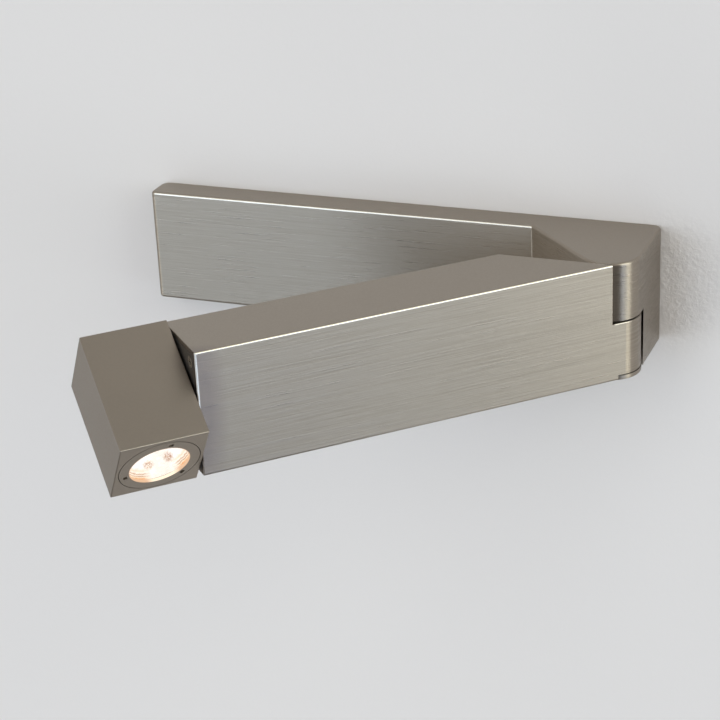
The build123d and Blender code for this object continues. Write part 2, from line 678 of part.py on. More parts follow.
with BuildPart() as arm_shell:
    # box with a mitred end, its front running on to the hinge axis
    with BuildSketch(arm_plane.offset(-HALF_H)):
        with BuildLine():
            Polyline(
                (0, 0),
                (0, front),
                (ARM_L, front),
                (ARM_L, -ARM_BACK),
                (mitre_at(-ARM_BACK), -ARM_BACK),
                (mitre_foot + neck_lap, mitre_foot - neck_lap),
                close=True,
            )
        make_face()
    extrude(amount=BODY_H)
    along_arm = Axis(arm_plane.origin, arm_dir)
    fillet(arm_shell.edges().filter_by(along_arm), ARM_EDGE_R)
    fillet(arm_shell.faces().sort_by(along_arm)[-1].edges(), SMALL_R)
    mitre_tip = arm_plane.from_local_coords(Vector(mitre_at(-ARM_BACK), -ARM_BACK, 0))
    fillet(arm_shell.edges().filter_by(Axis.Z).sort_by_distance(mitre_tip)[0], SMALL_R)
    # upper half clears the base's nose
    with BuildSketch(arm_plane.offset(SPLIT_LOW)):
        Circle(KNUCKLE_R + NOSE_CLEAR)
    extrude(amount=BODY_H, mode=Mode.SUBTRACT)
    # lower knuckle
    with BuildSketch(arm_plane.offset(-HALF_H)):
        Circle(KNUCKLE_R)
    extrude(amount=HALF_H + SPLIT_LOW)
    # soft rim on the knuckle's top
    knuckle_rim = arm_plane.from_local_coords(Vector(-KNUCKLE_R, 0, SPLIT_LOW))
    fillet(arm_shell.edges().sort_by_distance(knuckle_rim)[0], SMALL_R)
    # blunt upright edge of the notch
    notch_x = sqrt((KNUCKLE_R + NOSE_CLEAR) ** 2 - KNUCKLE_R**2)
    with BuildSketch(arm_plane.offset(SPLIT_LOW)):
        with Locations((notch_x, front)):
            Rectangle(2 * NOTCH_BLUNT, 2 * NOTCH_BLUNT)
    extrude(amount=BODY_H, mode=Mode.SUBTRACT)
    notch_edge = arm_plane.from_local_coords(Vector(notch_x + NOTCH_BLUNT, front, HALF_H / 2))
    fillet(arm_shell.edges().filter_by(Axis.Z).sort_by_distance(notch_edge)[0], SMALL_R)
    with BuildSketch(arm_plane.offset(-HALF_H)):
        Circle(CAP_SEAT_R)
    extrude(amount=CAP_SEAT_T, mode=Mode.SUBTRACT)
    # cavity, open at the far end
    with BuildSketch(arm_plane.offset(-HALF_H + ARM_WALL)):
        with BuildLine():
            Polyline(
                (mitre_at(inner_front, ARM_WALL), inner_front),
                (ARM_L, inner_front),
                (ARM_L, inner_back),
                (mitre_at(inner_back, ARM_WALL), inner_back),
                close=True,
            )
        make_face()
    extrude(amount=HALF_H - ARM_WALL + SPLIT_LOW - ARM_WALL, mode=Mode.SUBTRACT)
    with BuildSketch(arm_plane.offset(SPLIT_LOW - ARM_WALL)):
        with BuildLine():
            Polyline(
                (mitre_at(inner_front, ARM_WALL), inner_front),
                (ARM_L, inner_front),
                (ARM_L, inner_back),
                (mitre_at(inner_back, ARM_WALL), inner_back),
                close=True,
            )
        make_face()
        Circle(KNUCKLE_R + NOSE_CLEAR + ARM_WALL, mode=Mode.SUBTRACT)
    extrude(amount=HALF_H - SPLIT_LOW, mode=Mode.SUBTRACT)
    # well for the lock nut, bearing hole and stop slot
    with BuildSketch(arm_plane.offset(cap_roof)):
        Circle(WELL_R)
    extrude(amount=WEB_LOW - cap_roof, mode=Mode.SUBTRACT)
    with BuildSketch(arm_plane.offset(SPLIT_LOW)):
        Circle(PIN_R + RUN_FIT + BUSH_T)
    extrude(amount=-HINGE_WEB, mode=Mode.SUBTRACT)
    slot_end = STOP_BEARING + 180
    with BuildSketch(arm_plane.offset(SPLIT_LOW)):
        with BuildLine():
            CenterArc((0, 0), STOP_AT, slot_end - SWING_MOST, SWING_MOST)
            offset(amount=STOP_R + RUN_GAP)
        make_face()
    extrude(amount=STOP_SLOT_T, dir=-up_dir, mode=Mode.SUBTRACT)
    # way for the lead, from the well to the cavity
    with BuildSketch(arm_plane.offset(LEAD_LOW - CHANNEL_R)):
        with Locations((POCKET_L / 2, LEAD_FRONT + CHANNEL_R - POCKET_LAP)):
            Rectangle(POCKET_L, 2 * POCKET_LAP)
    extrude(amount=2 * CHANNEL_R, mode=Mode.SUBTRACT)
    with BuildSketch(across_arm(POCKET_L / 2, LEAD_FRONT, LEAD_LOW)):
        Circle(CHANNEL_R)
    extrude(amount=mitre_foot, mode=Mode.SUBTRACT)
    # bosses for the end plate's screws
    with BuildSketch(across_arm(PLATE_IN)):
        with Locations(*boss_rows):
            Rectangle(BOSS, BOSS)
    extrude(amount=-BOSS_L)
    with BuildSketch(across_arm(PLATE_IN)):
        with Locations(*screw_rows):
            Circle(SCREW_R + RUN_FIT)
    extrude(amount=-BOSS_L, mode=Mode.SUBTRACT)

with BuildPart() as hinge_bush:
    with BuildSketch(arm_plane.offset(SPLIT_LOW)):
        Circle(PIN_R + RUN_FIT + BUSH_T)
        Circle(PIN_R + RUN_FIT, mode=Mode.SUBTRACT)
    extrude(amount=-HINGE_WEB)

with BuildPart() as hinge_friction_washer:
    with BuildSketch(arm_plane.offset(SPLIT_LOW)):
        Circle(WASHER_R)
        Circle(PIN_R + SEAT_FIT, mode=Mode.SUBTRACT)
    extrude(amount=KNUCKLE_GAP - RUN_GAP)

with BuildPart() as hinge_cap:
    with BuildSketch(arm_plane.offset(-HALF_H)):
        Circle(KNUCKLE_R + CAP_PROUD)
    extrude(amount=CAP_T)
    fillet(hinge_cap.edges().group_by(Axis.Z)[0], SMALL_R / 2)
    with BuildSketch(arm_plane.offset(-HALF_H + CAP_T)):
        Circle(WELL_R - SEAT_FIT)
        Circle(WELL_R - SEAT_FIT - CAP_SPIGOT_WALL, mode=Mode.SUBTRACT)
    extrude(amount=CAP_SPIGOT_H)

plate_w = ARM_D - 2 * ARM_WALL - 2 * END_PLATE_FIT
plate_h = inner_h - 2 * END_PLATE_FIT
bush_r = PIN_R + RUN_FIT + BUSH_T

with BuildPart() as arm_end_plate:
    with BuildSketch(across_arm(PLATE_IN)):
        Rectangle(plate_h, plate_w)
        Circle(bush_r, mode=Mode.SUBTRACT)
    extrude(amount=END_PLATE_T)
    with BuildSketch(across_arm(ARM_L)):
        with BuildLine():
            CenterArc((0, 0), SWIVEL_STOP_AT, 90, TURN_MOST)
            offset(amount=STOP_R + RUN_GAP)
        make_face()
    extrude(amount=SWIVEL_SLOT_T, dir=-arm_dir, mode=Mode.SUBTRACT)
    with Locations(across_arm(ARM_L)):
        with Locations(*screw_rows):
            CounterSinkHole(SCREW_R + RUN_FIT, SCREW_HEAD_R + RUN_FIT, depth=END_PLATE_T)

with BuildPart() as end_plate_screws:
    with Locations(across_arm(ARM_L)):
        with Locations(*screw_rows):
            add(countersunk_screw(SCREW_R, SCREW_HEAD_R, END_SCREW_L))

with BuildPart() as swivel_bush:
    with BuildSketch(across_arm(PLATE_IN - SWIVEL_BUSH_FLANGE_T)):
        Circle(SWIVEL_FLANGE_R)
    extrude(amount=SWIVEL_BUSH_FLANGE_T)
    with BuildSketch(across_arm(PLATE_IN)):
        Circle(bush_r)
    extrude(amount=END_PLATE_T)
    with BuildSketch(across_arm(ARM_L)):
        Circle(PIN_R + RUN_FIT)
    extrude(amount=-END_PLATE_T - SWIVEL_BUSH_FLANGE_T, mode=Mode.SUBTRACT)

with BuildPart() as swivel_friction_washer:
    with BuildSketch(across_arm(ARM_L)):
        Circle(WASHER_R)
        Circle(PIN_R + SEAT_FIT, mode=Mode.SUBTRACT)
    extrude(amount=HEAD_GAP - RUN_GAP)

# lead through the arm, in the arm's frame: down out of the pin, round to the front wall,
# along it in two clips, and back to the swivel axis
arm_points = [
    tuple(arm_plane.from_local_coords(Vector(*point)))
    for point in (
        (0, 0, PIN_LOW),
        (0, 0, LEAD_LOW),
        (0, LEAD_FRONT, LEAD_LOW),
        (ARM_LEAD_BEND, LEAD_FRONT, LEAD_LOW),
        (CLIP_LEAD_FROM, CLIP_SIDE, CLIP_Z),
        (CLIP_LEAD_TO, CLIP_SIDE, CLIP_Z),
        (SWIVEL_LEAD_FROM, SECTION_MID, 0),
        (LEAD_MEET, SECTION_MID, 0),
    )
]

with BuildPart() as arm_lead:
    with BuildLine() as arm_path:
        FilletPolyline(*arm_points, radius=bend_radii(arm_points))
    with BuildSketch(Plane(origin=arm_path.line @ 0, z_dir=arm_path.line % 0)):
        Circle(LEAD_R)
    sweep()

with BuildPart() as lead_clips:
    clip_reach = inner_front - CLIP_SIDE + 2 * LEAD_R
    for spot in CLIP_SPOTS:
        with BuildSketch(across_arm(spot, inner_front - clip_reach / 2, CLIP_Z)):
            Rectangle(4 * LEAD_R, clip_reach)
        extrude(amount=CLIP_L)
        with BuildSketch(across_arm(spot, CLIP_SIDE, CLIP_Z)):
            Circle(LEAD_R + RUN_FIT)
        extrude(amount=CLIP_L, mode=Mode.SUBTRACT)

# ================================================================ head
cavity_low = -HALF_H + LENS_FLANGE_T
cavity_h = BODY_H - LENS_FLANGE_T - HEAD_WALL
glass_back = RING_LIP_T + GLASS_T
reflector_back = glass_back + REFLECTOR_D
lamp_base_top = reflector_back + LAMP_BASE_L
holder_top = lamp_base_top + HOLDER_L
strap_top = holder_top + STRAP_T
post_h = BODY_H - HEAD_WALL - strap_top

with BuildPart() as head_housing:
    with BuildSketch(head_plane.offset(-HALF_H)):
        with Locations((HEAD_L / 2, 0)):
            Rectangle(HEAD_L, ARM_D)
    extrude(amount=BODY_H)
    fillet(head_housing.edges(), HEAD_EDGE_R)
    with BuildSketch(head_plane.offset(cavity_low)):
        with Locations((HEAD_L / 2, 0)):
            Rectangle(HEAD_L - 2 * HEAD_WALL, ARM_D - 2 * HEAD_WALL)
    extrude(amount=cavity_h, mode=Mode.SUBTRACT)
    with BuildSketch(lens_plane):
        Circle(LAMP_BORE_R)
    extrude(amount=LENS_FLANGE_T, mode=Mode.SUBTRACT)
    with BuildSketch(lens_plane):
        Circle(RING_SEAT_R)
    extrude(amount=RING_T, mode=Mode.SUBTRACT)
    # swivel tube and stop pin through the side beside the arm
    with BuildSketch(head_side(0)):
        Circle(PIN_R + RUN_FIT)
        with Locations((0, SWIVEL_STOP_AT)):
            Circle(STOP_R + RUN_FIT)
    extrude(amount=HEAD_WALL, mode=Mode.SUBTRACT)
    # posts for the holder's strap, drilled for its screws
    with BuildSketch(lens_plane.offset(strap_top)):
        with Locations((0, -POST_AT), (0, POST_AT)):
            Circle(POST_R)
    extrude(amount=post_h)
    with BuildSketch(lens_plane.offset(strap_top)):
        with Locations((0, -POST_AT), (0, POST_AT)):
            Circle(SMALL_SCREW_R + RUN_FIT)
    extrude(amount=SMALL_SCREW_L, mode=Mode.SUBTRACT)

with BuildPart() as retaining_ring:
    with BuildSketch(lens_plane):
        Circle(RING_R)
    extrude(amount=RING_T)
    with BuildSketch(lens_plane):
        Circle(RING_OPEN_R)
    extrude(amount=RING_LIP_T, mode=Mode.SUBTRACT)
    with BuildSketch(lens_plane.offset(RING_LIP_T)):
        Circle(RING_HOLD_R)
    extrude(amount=RING_T - RING_LIP_T, mode=Mode.SUBTRACT)
    with BuildSketch(lens_plane):
        with PolarLocations(KEY_AT, KEY_SLOTS, start_angle=KEY_BEARING):
            Rectangle(KEY_D, KEY_W)
    extrude(amount=KEY_DEEP, mode=Mode.SUBTRACT)

with BuildPart() as front_glass:
    with BuildSketch(lens_plane.offset(RING_LIP_T)):
        Circle(GLASS_R)
    extrude(amount=GLASS_T)

reflector_plane = Plane(origin=lens_plane.origin, x_dir=lens_plane.x_dir, z_dir=-lens_plane.y_dir)
lens_axis = Axis(lens_plane.origin, lens_plane.z_dir)

with BuildPart() as lamp_reflector:
    with BuildSketch(reflector_plane):
        with BuildLine():
            outer = ThreePointArc(
                (GLASS_R, glass_back),
                (REFLECTOR_MID_R, glass_back + 0.5 * REFLECTOR_D),
                (REFLECTOR_NECK_R, reflector_back),
            )
            inner = ThreePointArc(
                (GLASS_R - REFLECTOR_WALL, glass_back),
                (REFLECTOR_MID_R - REFLECTOR_WALL, glass_back + 0.5 * REFLECTOR_D - REFLECTOR_WALL),
                (REFLECTOR_NECK_R - REFLECTOR_WALL, reflector_back),
            )
            Line(outer @ 0, inner @ 0)
            Line(outer @ 1, inner @ 1)
        make_face()
    revolve(axis=lens_axis)

with BuildPart() as lamp_base:
    with BuildSketch(lens_plane.offset(reflector_back)):
        Rectangle(LAMP_BASE_X, LAMP_BASE_Y)
    extrude(amount=LAMP_BASE_L)
    fillet(lamp_base.edges().filter_by(Axis(lens_plane.origin, head_up)), SMALL_R)

with BuildPart() as lamp_capsule:
    with BuildSketch(lens_plane.offset(reflector_back)):
        Circle(CAPSULE_R)
    extrude(amount=-CAPSULE_L)
    tip = lamp_capsule.edges().filter_by(GeomType.CIRCLE)
    fillet(tip.sort_by(Axis(lens_plane.origin, head_up))[0], CAPSULE_TIP_R)

with BuildPart() as lamp_pins:
    with BuildSketch(lens_plane.offset(lamp_base_top)):
        with Locations((0, -LAMP_PIN_APART / 2), (0, LAMP_PIN_APART / 2)):
            Circle(LAMP_PIN_R)
    extrude(amount=LAMP_PIN_L)

with BuildPart() as lamp_holder:
    with BuildSketch(lens_plane.offset(lamp_base_top)):
        RectangleRounded(HOLDER_X, HOLDER_Y, MOULD_R)
        with Locations((0, -LAMP_PIN_APART / 2), (0, LAMP_PIN_APART / 2)):
            Circle(LAMP_PIN_R + PIN_HOLE_FIT, mode=Mode.SUBTRACT)
    extrude(amount=HOLDER_L)

with BuildPart() as holder_bracket:
    with BuildSketch(lens_plane.offset(holder_top)):
        RectangleRounded(STRAP_X, STRAP_Y, 2 * MOULD_R)
        with Locations((0, -POST_AT), (0, POST_AT)):
            Circle(SMALL_SCREW_R + RUN_FIT, mode=Mode.SUBTRACT)
    extrude(amount=STRAP_T)

with BuildPart() as holder_screws:
    for side in (-1, 1):
        seat = Plane(
            origin=lens_plane.from_local_coords(Vector(0, side * POST_AT, holder_top)),
            x_dir=arm_dir,
            z_dir=-head_up,
        )
        with Locations(seat):
            add(pan_screw(SMALL_SCREW_R, SMALL_HEAD_R, SMALL_HEAD_T, STRAP_T + SMALL_SCREW_L - 1))

with BuildPart() as swivel_tube:
    with BuildSketch(across_arm(SWIVEL_LOW)):
        Circle(PIN_R)
    extrude(amount=ARM_L + HEAD_GAP + HEAD_WALL - SWIVEL_LOW)
    with BuildSketch(head_side(HEAD_WALL)):
        RegularPolygon(SWIVEL_FLANGE_R, 6)
    extrude(amount=SWIVEL_FLANGE_T)
    with BuildSketch(head_side(HEAD_WALL + SWIVEL_FLANGE_T)):
        Circle(PIN_BORE_R)
    extrude(amount=-2 * ARM_D, mode=Mode.SUBTRACT)

with BuildPart() as swivel_spring_washer:
    with BuildSketch(across_arm(PLATE_IN - SWIVEL_BUSH_FLANGE_T - RUN_GAP)):
        Circle(SPRING_R)
        Circle(PIN_R + RUN_FIT, mode=Mode.SUBTRACT)
    extrude(amount=-SPRING_T)

with BuildPart() as swivel_nut:
    with BuildSketch(across_arm(PLATE_IN - SWIVEL_BUSH_FLANGE_T - RUN_GAP - SPRING_T)):
        RegularPolygon(NUT_R, 6)
        Circle(PIN_R + RUN_FIT, mode=Mode.SUBTRACT)
    extrude(amount=-NUT_T)

with BuildPart() as swivel_stop_pin:
    with BuildSketch(head_side(HEAD_WALL)):
        with Locations((0, SWIVEL_STOP_AT)):
            Circle(STOP_R)
    extrude(amount=-(HEAD_WALL + HEAD_GAP + SWIVEL_REACH))

# lead in the head, in the head's frame: out of the tube, up, and into the holder's side
lead_rise = holder_top - HOLDER_LEAD_IN - HALF_H
holder_side = HEAD_L / 2 - HOLDER_X / 2
head_points = [
    tuple(head_plane.from_local_coords(Vector(*point)))
    for point in (
        (LEAD_MEET - ARM_L - HEAD_GAP, 0, 0),
        (HEAD_LEAD_TURN, 0, 0),
        (HEAD_LEAD_TURN, 0, lead_rise),
        (holder_side, 0, lead_rise),
    )
]

with BuildPart() as head_lead:
    with BuildLine() as head_path:
        FilletPolyline(*head_points, radius=bend_radii(head_points))
    with BuildSketch(Plane(origin=head_path.line @ 0, z_dir=head_path.line % 0)):
        Circle(LEAD_R)
    sweep()

# ================================================================ export
pieces = {
    "base_housing": base_housing,
    "wall_bracket": wall_bracket,
    "bracket_screws": bracket_screws,
    "driver_case": driver_case,
    "driver_cover": driver_cover,
    "driver_board": driver_board,
    "driver_components": driver_components,
    "driver_screws": driver_screws,
    "terminal_block": terminal_block,
    "terminal_screws": terminal_screws,
    "earth_tag": earth_tag,
    "earth_screw": earth_screw,
    "live_lead": live_lead,
    "neutral_lead": neutral_lead,
    "earth_lead": earth_lead,
    "base_lead": base_lead,
    "hinge_pin": hinge_pin,
    "hinge_stop_pin": hinge_stop_pin,
    "hinge_spring_washer": hinge_spring_washer,
    "hinge_lock_nut": hinge_lock_nut,
    "arm_shell": arm_shell,
    "hinge_bush": hinge_bush,
    "hinge_friction_washer": hinge_friction_washer,
    "hinge_cap": hinge_cap,
    "arm_end_plate": arm_end_plate,
    "end_plate_screws": end_plate_screws,
    "swivel_bush": swivel_bush,
    "swivel_friction_washer": swivel_friction_washer,
    "arm_lead": arm_lead,
    "lead_clips": lead_clips,
    "head_housing": head_housing,
    "retaining_ring": retaining_ring,
    "front_glass": front_glass,
    "lamp_reflector": lamp_reflector,
    "lamp_base": lamp_base,
    "lamp_capsule": lamp_capsule,
    "lamp_pins": lamp_pins,
    "lamp_holder": lamp_holder,
    "holder_bracket": holder_bracket,
    "holder_screws": holder_screws,
    "swivel_tube": swivel_tube,
    "swivel_spring_washer": swivel_spring_washer,
    "swivel_nut": swivel_nut,
    "swivel_stop_pin": swivel_stop_pin,
    "head_lead": head_lead,
}
for name, piece in pieces.items():
    piece.part.label = name
    export_step(piece.part, f"parts/{name}.step")
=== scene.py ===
"""Looks of the folding bedside reading lamp, on a pale wall in soft daylight."""
import json
import math

import bmesh
import bpy
from mathutils import Matrix, Vector

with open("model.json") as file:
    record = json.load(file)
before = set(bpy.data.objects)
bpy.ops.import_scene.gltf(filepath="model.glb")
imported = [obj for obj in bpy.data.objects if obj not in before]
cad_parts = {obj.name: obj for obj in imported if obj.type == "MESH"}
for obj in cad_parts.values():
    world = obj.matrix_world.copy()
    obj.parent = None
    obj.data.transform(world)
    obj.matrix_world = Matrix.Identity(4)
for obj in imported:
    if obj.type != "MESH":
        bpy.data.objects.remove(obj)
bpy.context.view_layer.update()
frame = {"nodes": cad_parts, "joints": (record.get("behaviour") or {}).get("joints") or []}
nodes = frame["nodes"]

ARM_SWING = math.radians(45.0)  # the arm's direction at rest, off the wall
HEAD_TURN = math.radians(54.3)  # the lens at rest, up from straight down
HEAD_GAP = 0.001  # between arm and head
HEAD_L = 0.044  # head along the arm
HALF_H = 0.0325  # half the head's height

UP = Vector((0, 0, 1))
arm_dir = Vector((-math.cos(ARM_SWING), -math.sin(ARM_SWING), 0))
arm_front = Vector((math.sin(ARM_SWING), -math.cos(ARM_SWING), 0))
lens_out = arm_front * math.sin(HEAD_TURN) - UP * math.cos(HEAD_TURN)
swivel = Vector(next(j for j in frame["joints"] if j["name"] == "head_turn")["pos_m"])


# ---------------------------------------------------------------- node helpers
def new_material(name):
    mat = bpy.data.materials.new(name)
    mat.use_nodes = True
    tree = mat.node_tree
    return mat, tree, tree.nodes["Principled BSDF"]


def add_node(tree, kind, **inputs):
    node = tree.nodes.new(kind)
    for key, value in inputs.items():
        node.inputs[key].default_value = value
    return node


def feed(tree, socket, value):
    """Links another node's output to the socket, or sets a number or a colour on it."""
    if isinstance(value, bpy.types.NodeSocket):
        tree.links.new(value, socket)
    elif isinstance(value, tuple):
        socket.default_value = (*value, 1)
    else:
        socket.default_value = value


def object_coords(tree):
    return tree.nodes.new("ShaderNodeTexCoord").outputs["Object"]


def stretched(tree, turn, scale=(1, 1, 1)):
    """Object coordinates turned about Z and scaled, for streaks along one direction."""
    rotate = add_node(tree, "ShaderNodeMapping", Rotation=(0, 0, -turn))
    size = add_node(tree, "ShaderNodeMapping", Scale=scale)
    tree.links.new(object_coords(tree), rotate.inputs["Vector"])
    tree.links.new(rotate.outputs["Vector"], size.inputs["Vector"])
    return size.outputs["Vector"]


def split(tree, vector):
    node = tree.nodes.new("ShaderNodeSeparateXYZ")
    tree.links.new(vector, node.inputs["Vector"])
    return node.outputs


def noise(tree, vector, scale=1.0, detail=2.0, rough=0.5):
    node = add_node(tree, "ShaderNodeTexNoise", Scale=scale, Detail=detail, Roughness=rough)
    tree.links.new(vector, node.inputs["Vector"])
    return node.outputs["Fac"]


def even_noise(tree, scale, detail=2.0, rough=0.5):
    return noise(tree, object_coords(tree), scale, detail, rough)


def maths(tree, kind, first, second=0):
    node = tree.nodes.new("ShaderNodeMath")
    node.operation = kind
    feed(tree, node.inputs[0], first)
    feed(tree, node.inputs[1], second)
    return node.outputs["Value"]


def weighted(tree, first, share, second):
    """The share of the first and the rest of the second."""
    rest = maths(tree, "MULTIPLY", second, 1 - share)
    return maths(tree, "ADD", maths(tree, "MULTIPLY", first, share), rest)


def spread(tree, value, low, high, to_low=0.0, to_high=1.0):
    limits = {"From Min": low, "From Max": high, "To Min": to_low, "To Max": to_high}
    node = add_node(tree, "ShaderNodeMapRange", **limits)
    tree.links.new(value, node.inputs["Value"])
    return node.outputs["Result"]


def soft_range(tree, value, low, high, soft):
    """One between low and high, falling smoothly to nought past them."""
    rise = spread(tree, value, low - soft, low + soft)
    fall = spread(tree, value, high - soft, high + soft, 1.0, 0.0)
    for result in (rise, fall):
        result.node.interpolation_type = "SMOOTHSTEP"
    return maths(tree, "MULTIPLY", rise, fall)


def bearing_about_z(tree, parts):
    return maths(tree, "ARCTAN2", parts["Y"], parts["X"])


def bearing_range(tree, bearing, limits):
    """Soft range of a bearing, its limits and its soft edge in degrees."""
    return soft_range(tree, bearing, *(math.radians(angle) for angle in limits))


SPOT_CORE = 0.4  # share of a spot's reach within which it is whole


def near_spot(tree, vector, spot, reach):
    """One at the spot, falling to nought at its reach, which differs along each axis."""
    place = add_node(tree, "ShaderNodeMapping", Location=spot, Scale=reach)
    place.vector_type = "TEXTURE"
    tree.links.new(vector, place.inputs["Vector"])
    size = tree.nodes.new("ShaderNodeVectorMath")
    size.operation = "LENGTH"
    tree.links.new(place.outputs["Vector"], size.inputs[0])
    return spread(tree, size.outputs["Value"], SPOT_CORE, 1.0, 1.0, 0.0)


def mix_value(tree, factor, first, second):
    node = tree.nodes.new("ShaderNodeMix")
    for key, value in (("Factor", factor), ("A", first), ("B", second)):
        feed(tree, node.inputs[key], value)
    return node.outputs["Result"]


def mix_colour(tree, factor, first, second, blend="MIX"):
    node = tree.nodes.new("ShaderNodeMix")
    node.data_type = "RGBA"
    node.blend_type = blend
    for key, value in (("Factor", factor), ("A", first), ("B", second)):
        feed(tree, node.inputs[key], value)
    return node.outputs["Result"]


def add_bump(tree, shader, height, strength, distance):
    node = add_node(tree, "ShaderNodeBump", Distance=distance)
    feed(tree, node.inputs["Strength"], strength)
    tree.links.new(height, node.inputs["Height"])
    tree.links.new(node.outputs["Normal"], shader.inputs["Normal"])


# ---------------------------------------------------------------- metals
# Noise scales along the streaks, through the face and up.
STREAK_FINE = (26, 160, 2100)
STREAK_LONG = (9, 60, 760)
STREAK_CLOUD = (9, 9, 14)
LEVEL_GRAIN = (900, 900, 900)
FINE_SHARE = 0.62  # of the fine streaks, against the long ones
STREAK_SHARE = 0.8  # of the streaks, against the cloud
STREAK_ANISOTROPY = 0.9
STREAK_ROUGH = 0.33
STREAK_RIDGE = 0.0002
LEVEL_NORMAL = (0.35, 0.75)  # the normal's slope over which streaks give way to grain
EDGE_NORMAL = (0.08, 0.88, 0.04)  # the upper edge's normals: low, high and soft edge
EDGE_END = (0.1, 0.3)  # the normal's part along the streaks over which the polish ends
# painted highlight: lighter colour on the polished upper edge
EDGE_PAINTED_HIGHLIGHT = (0.5, 0.45, 0.38)
EDGE_ROUGH = 0.2


def brushed_metal(name, turn, light, dark, rough_swing, half_range, bump, painted_spots=()):
    """Satin nickel: fine level streaks on upright faces, a plain fine grain on level ones.

    The streaks run from dark to light over the half range on each side of the noise's middle.
    The rounded edge above the front face is polished and painted lighter as a highlight. The
    painted spots are soft spots of painted shade or painted highlight, each with its middle and
    its reach along the streaks, through the face and up, and its colour.
    """
    mat, tree, shader = new_material(name)
    link = tree.links.new
    fine = noise(tree, stretched(tree, turn, STREAK_FINE), detail=3, rough=0.62)
    long = noise(tree, stretched(tree, turn, STREAK_LONG), detail=3, rough=0.6)
    cloud = noise(tree, stretched(tree, turn, STREAK_CLOUD))
    grain = noise(tree, stretched(tree, turn, LEVEL_GRAIN), detail=1)

    normal = tree.nodes.new("ShaderNodeTexCoord").outputs["Normal"]
    upward = split(tree, normal)["Z"]
    upright = spread(tree, maths(tree, "ABSOLUTE", upward), *LEVEL_NORMAL, 1.0, 0.0)
    streaks = weighted(tree, fine, FINE_SHARE, long)
    streaks = spread(tree, streaks, 0.5 - half_range, 0.5 + half_range)
    plain = spread(tree, grain, 0.2, 0.8, 0.4, 0.6)
    brushing = mix_value(tree, upright, plain, streaks)
    tone = weighted(tree, brushing, STREAK_SHARE, cloud)
    colour = mix_colour(tree, tone, dark, light)
    # painted shade and painted highlight spots over the metal's colour
    for spot, reach, spot_colour in painted_spots:
        there = near_spot(tree, stretched(tree, turn), spot, reach)
        colour = mix_colour(tree, there, colour, spot_colour)

    along_streaks = tree.nodes.new("ShaderNodeVectorMath")
    along_streaks.operation = "DOT_PRODUCT"
    along_streaks.inputs[1].default_value = (math.cos(turn), math.sin(turn), 0)
    link(normal, along_streaks.inputs[0])
    endways = maths(tree, "ABSOLUTE", along_streaks.outputs["Value"])
    on_edge = soft_range(tree, upward, *EDGE_NORMAL)
    polish_and_highlight = maths(tree, "MULTIPLY", on_edge, spread(tree, endways, *EDGE_END, 1.0, 0.0))
    # the polished upper edge is smoother, and painted lighter as a highlight
    link(mix_colour(tree, polish_and_highlight, colour, EDGE_PAINTED_HIGHLIGHT), shader.inputs["Base Color"])
    roughest, smoothest = STREAK_ROUGH + rough_swing, STREAK_ROUGH - rough_swing
    satin = spread(tree, brushing, 0, 1, roughest, smoothest)
    link(mix_value(tree, polish_and_highlight, satin, EDGE_ROUGH), shader.inputs["Roughness"])
    shader.inputs["Metallic"].default_value = 1.0
    add_bump(tree, shader, brushing, bump, STREAK_RIDGE)

    link(maths(tree, "MULTIPLY", upright, STREAK_ANISOTROPY), shader.inputs["Anisotropic"])
    around = tree.nodes.new("ShaderNodeTangent")
    around.direction_type = "RADIAL"
    around.axis = "Z"
    link(around.outputs["Tangent"], shader.inputs["Tangent"])
    shader.inputs["Anisotropic Rotation"].default_value = 0.25
    return mat


def fine_metal(name, light, dark, rough, grain_scale=700.0, bump=0.06):
    """Satin metal with a fine even grain and a faint cloud in its tone."""
    mat, tree, shader = new_material(name)
    link = tree.links.new
    grain = even_noise(tree, grain_scale)
    tone = weighted(tree, grain, 0.5, even_noise(tree, 30))
    link(mix_colour(tree, spread(tree, tone, 0.3, 0.7), dark, light), shader.inputs["Base Color"])
    shader.inputs["Metallic"].default_value = 1.0
    link(spread(tree, grain, 0.2, 0.8, rough - 0.04, rough + 0.04), shader.inputs["Roughness"])
    add_bump(tree, shader, grain, bump, 0.0001)
    return mat


def moulded(name, light, dark, rough, grain_scale=900.0, bump=0.08):
    """Moulded plastic, ceramic or sheath with a fine surface grain."""
    mat, tree, shader = new_material(name)
    link = tree.links.new
    grain = even_noise(tree, grain_scale)
    tone = spread(tree, even_noise(tree, 45), 0.3, 0.7)
    link(mix_colour(tree, tone, dark, light), shader.inputs["Base Color"])
    link(spread(tree, grain, 0.2, 0.8, rough - 0.05, rough + 0.05), shader.inputs["Roughness"])
    add_bump(tree, shader, grain, bump, 0.0002)
    return mat


BASE_LIGHT = (0.36, 0.309, 0.251)
BASE_DARK = (0.284, 0.245, 0.199)
ARM_LIGHT = (0.395, 0.34, 0.276)
ARM_DARK = (0.249, 0.214, 0.174)
# painted shade and painted highlight on the arm's nickel
ARM_PAINTED_LIGHT = (
    ((-0.1745, -0.142, 0.004), (0.016, 0.01, 0.06), (0.25, 0.21, 0.185)),  # painted shade beside the head
    ((-0.1738, -0.1421, 0.016), (0.0009, 0.0009, 0.034), (0.85, 0.82, 0.77)),  # painted highlight on the arm's end edge
)
HEAD_LIGHT = (0.34, 0.29, 0.237)
HEAD_DARK = (0.315, 0.269, 0.219)
HEAD_ROUGH = 0.42
HEAD_BUMP = 0.02

